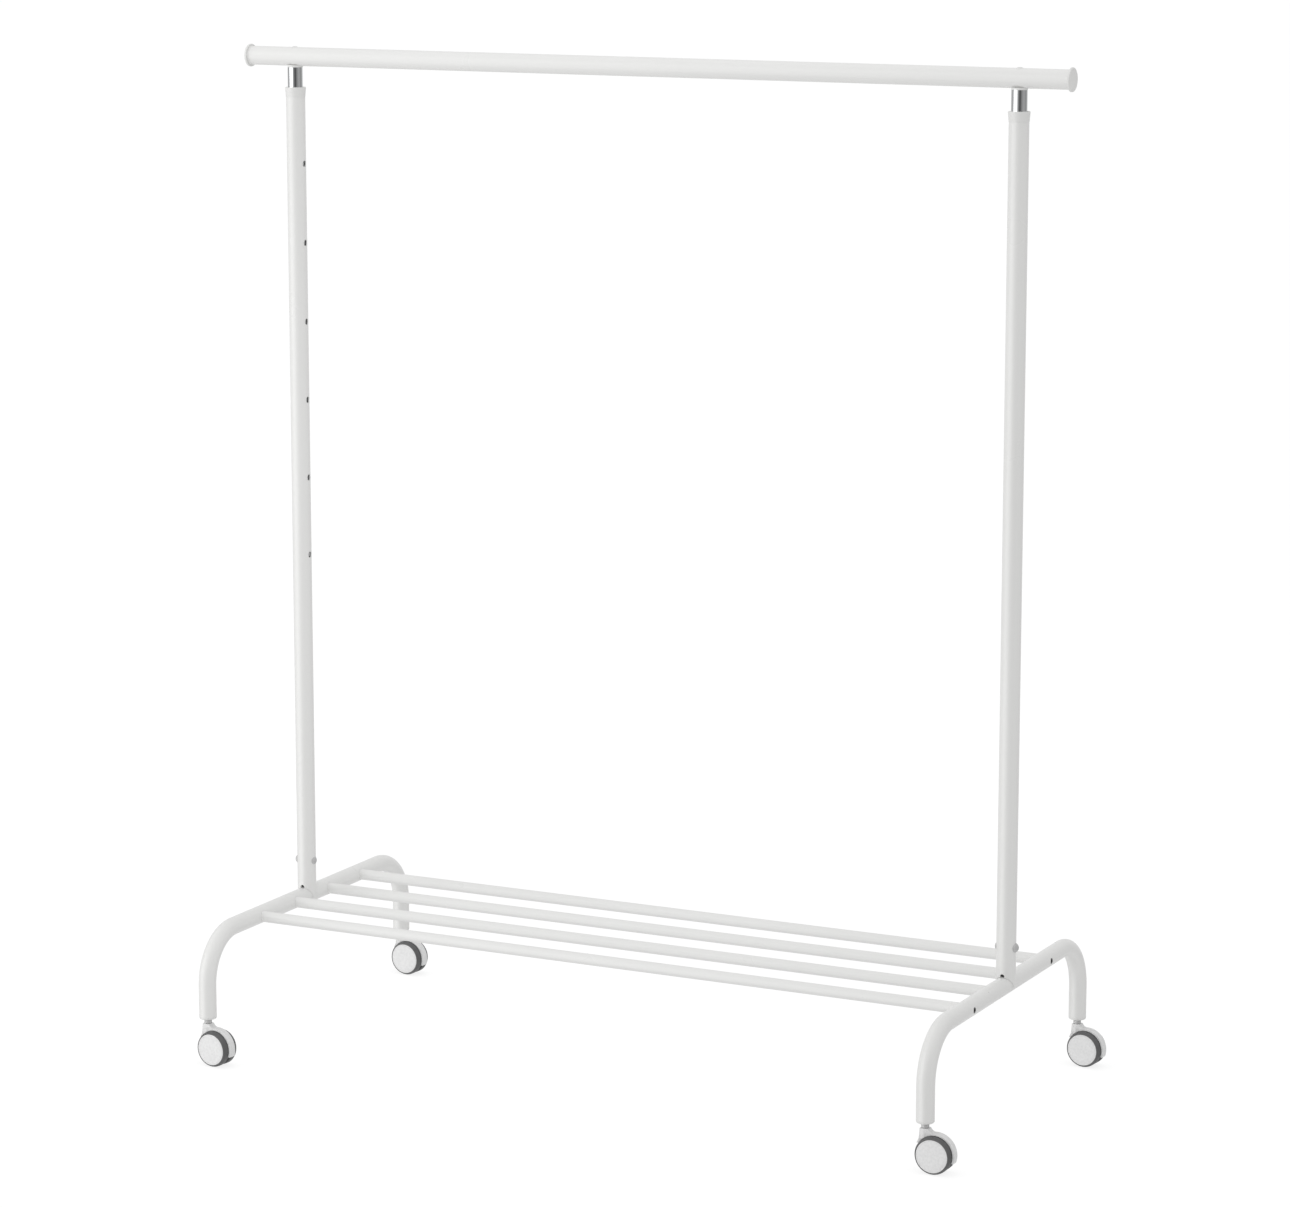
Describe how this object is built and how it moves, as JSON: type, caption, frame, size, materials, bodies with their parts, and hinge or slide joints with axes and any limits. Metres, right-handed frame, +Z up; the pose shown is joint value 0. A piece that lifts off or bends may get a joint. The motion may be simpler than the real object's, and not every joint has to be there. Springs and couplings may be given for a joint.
{
  "type": "rolling clothes rack",
  "caption": "Rolling clothes rack with a height-adjustable hanging rail on two telescopic posts, a tube shelf low down and swivel casters.",
  "frame": {"origin": "on the floor, under the middle of the hanging rail and midway between the front and back legs", "axes": "+X along the hanging rail to the right, +Y towards the back, +Z up"},
  "size_m": [1.11, 0.5184, 1.2615],
  "materials": {
    "white_paint": "smooth white powder coat, satin gloss",
    "white_screw_paint": "white painted screw heads, satin gloss",
    "white_plastic": "moulded white plastic, fine matt texture",
    "caster_white_plastic": "moulded white plastic, slightly glossy",
    "chrome_tube": "bright chrome plating",
    "dark_plastic": "dark grey plastic",
    "zinc_steel": "zinc-plated steel",
    "dark_steel": "dark zinc-plated steel",
    "grey_tyre": "dark grey soft tyre"
  },
  "bodies": {
    "root": {"post_left": "white_paint", "post_right": "white_paint", "post_collar_left": "white_plastic", "post_collar_right": "white_plastic", "end_frame_left": "white_paint", "end_frame_right": "white_paint", "post_bolts": "zinc_steel", "post_nuts": "zinc_steel", "shelf_tube_1": "white_paint", "shelf_tube_2": "white_paint", "shelf_tube_3": "white_paint", "shelf_tube_4": "white_paint", "shelf_tube_plugs": "zinc_steel", "shelf_screws": "dark_steel", "leg_sockets": "white_plastic", "stem_grip_rings": "zinc_steel", "caster_stem_fl": "zinc_steel", "caster_stem_fr": "zinc_steel", "caster_stem_bl": "zinc_steel", "caster_stem_br": "zinc_steel"},
    "rail_assembly": {"hanging_rail": "white_paint", "rail_cap_left": "white_plastic", "rail_cap_right": "white_plastic", "rail_saddle_left": "white_plastic", "rail_saddle_right": "white_plastic", "rail_screws": "white_screw_paint", "inner_tube_left": "chrome_tube", "inner_tube_right": "chrome_tube", "inner_tube_inserts": "zinc_steel", "inner_tube_glide_left": "dark_plastic", "inner_tube_glide_right": "dark_plastic", "button_springs": "zinc_steel"},
    "button_left": {"lock_button_left": "zinc_steel"},
    "button_right": {"lock_button_right": "zinc_steel"},
    "caster_fl": {"caster_hood_fl": "caster_white_plastic", "caster_axle_fl": "zinc_steel"},
    "wheel_outer_fl": {"hub_outer_fl": "caster_white_plastic", "tyre_outer_fl": "grey_tyre"},
    "wheel_inner_fl": {"hub_inner_fl": "caster_white_plastic", "tyre_inner_fl": "grey_tyre"},
    "caster_fr": {"caster_hood_fr": "caster_white_plastic", "caster_axle_fr": "zinc_steel"},
    "wheel_outer_fr": {"hub_outer_fr": "caster_white_plastic", "tyre_outer_fr": "grey_tyre"},
    "wheel_inner_fr": {"hub_inner_fr": "caster_white_plastic", "tyre_inner_fr": "grey_tyre"},
    "caster_bl": {"caster_hood_bl": "caster_white_plastic", "caster_axle_bl": "zinc_steel"},
    "wheel_outer_bl": {"hub_outer_bl": "caster_white_plastic", "tyre_outer_bl": "grey_tyre"},
    "wheel_inner_bl": {"hub_inner_bl": "caster_white_plastic", "tyre_inner_bl": "grey_tyre"},
    "caster_br": {"caster_hood_br": "caster_white_plastic", "caster_axle_br": "zinc_steel"},
    "wheel_outer_br": {"hub_outer_br": "caster_white_plastic", "tyre_outer_br": "grey_tyre"},
    "wheel_inner_br": {"hub_inner_br": "caster_white_plastic", "tyre_inner_br": "grey_tyre"}
  },
  "joints": [
    {"name": "height_slide", "type": "slide", "parent": "root", "child": "rail_assembly", "axis": [0, 0, 1], "range_m": [0, 0.5]},
    {"name": "button_press_left", "type": "slide", "parent": "rail_assembly", "child": "button_left", "axis": [1, 0, 0], "range_m": [0, 0.004], "stiffness_N_per_m": 300, "springref_m": 0.004},
    {"name": "button_press_right", "type": "slide", "parent": "rail_assembly", "child": "button_right", "axis": [-1, 0, 0], "range_m": [0, 0.004], "stiffness_N_per_m": 300, "springref_m": 0.004},
    {"name": "caster_swivel_fl", "type": "hinge", "parent": "root", "child": "caster_fl", "pos_m": [-0.4885, -0.244, 0.045], "axis": [0, 0, 1], "continuous": true},
    {"name": "wheel_spin_outer_fl", "type": "hinge", "parent": "caster_fl", "child": "wheel_outer_fl", "pos_m": [-0.47604, -0.25329, 0.0225], "axis": [0.1219, 0.9925, 0], "continuous": true},
    {"name": "wheel_spin_inner_fl", "type": "hinge", "parent": "caster_fl", "child": "wheel_inner_fl", "pos_m": [-0.47416, -0.238, 0.0225], "axis": [0.1219, 0.9925, 0], "continuous": true},
    {"name": "caster_swivel_fr", "type": "hinge", "parent": "root", "child": "caster_fr", "pos_m": [0.4885, -0.244, 0.045], "axis": [0, 0, 1], "continuous": true},
    {"name": "wheel_spin_outer_fr", "type": "hinge", "parent": "caster_fr", "child": "wheel_outer_fr", "pos_m": [0.502, -0.2517, 0.0225], "axis": [0, 1, 0], "continuous": true},
    {"name": "wheel_spin_inner_fr", "type": "hinge", "parent": "caster_fr", "child": "wheel_inner_fr", "pos_m": [0.502, -0.2363, 0.0225], "axis": [0, 1, 0], "continuous": true},
    {"name": "caster_swivel_bl", "type": "hinge", "parent": "root", "child": "caster_bl", "pos_m": [-0.4885, 0.244, 0.045], "axis": [0, 0, 1], "continuous": true},
    {"name": "wheel_spin_outer_bl", "type": "hinge", "parent": "caster_bl", "child": "wheel_outer_bl", "pos_m": [-0.47572, 0.23515, 0.0225], "axis": [0.0872, 0.9962, 0], "continuous": true},
    {"name": "wheel_spin_inner_bl", "type": "hinge", "parent": "caster_bl", "child": "wheel_inner_bl", "pos_m": [-0.47438, 0.25049, 0.0225], "axis": [0.0872, 0.9962, 0], "continuous": true},
    {"name": "caster_swivel_br", "type": "hinge", "parent": "root", "child": "caster_br", "pos_m": [0.4885, 0.244, 0.045], "axis": [0, 0, 1], "continuous": true},
    {"name": "wheel_spin_outer_br", "type": "hinge", "parent": "caster_br", "child": "wheel_outer_br", "pos_m": [0.50128, 0.23515, 0.0225], "axis": [0.0872, 0.9962, 0], "continuous": true},
    {"name": "wheel_spin_inner_br", "type": "hinge", "parent": "caster_br", "child": "wheel_inner_br", "pos_m": [0.50262, 0.25049, 0.0225], "axis": [0.0872, 0.9962, 0], "continuous": true}
  ]
}
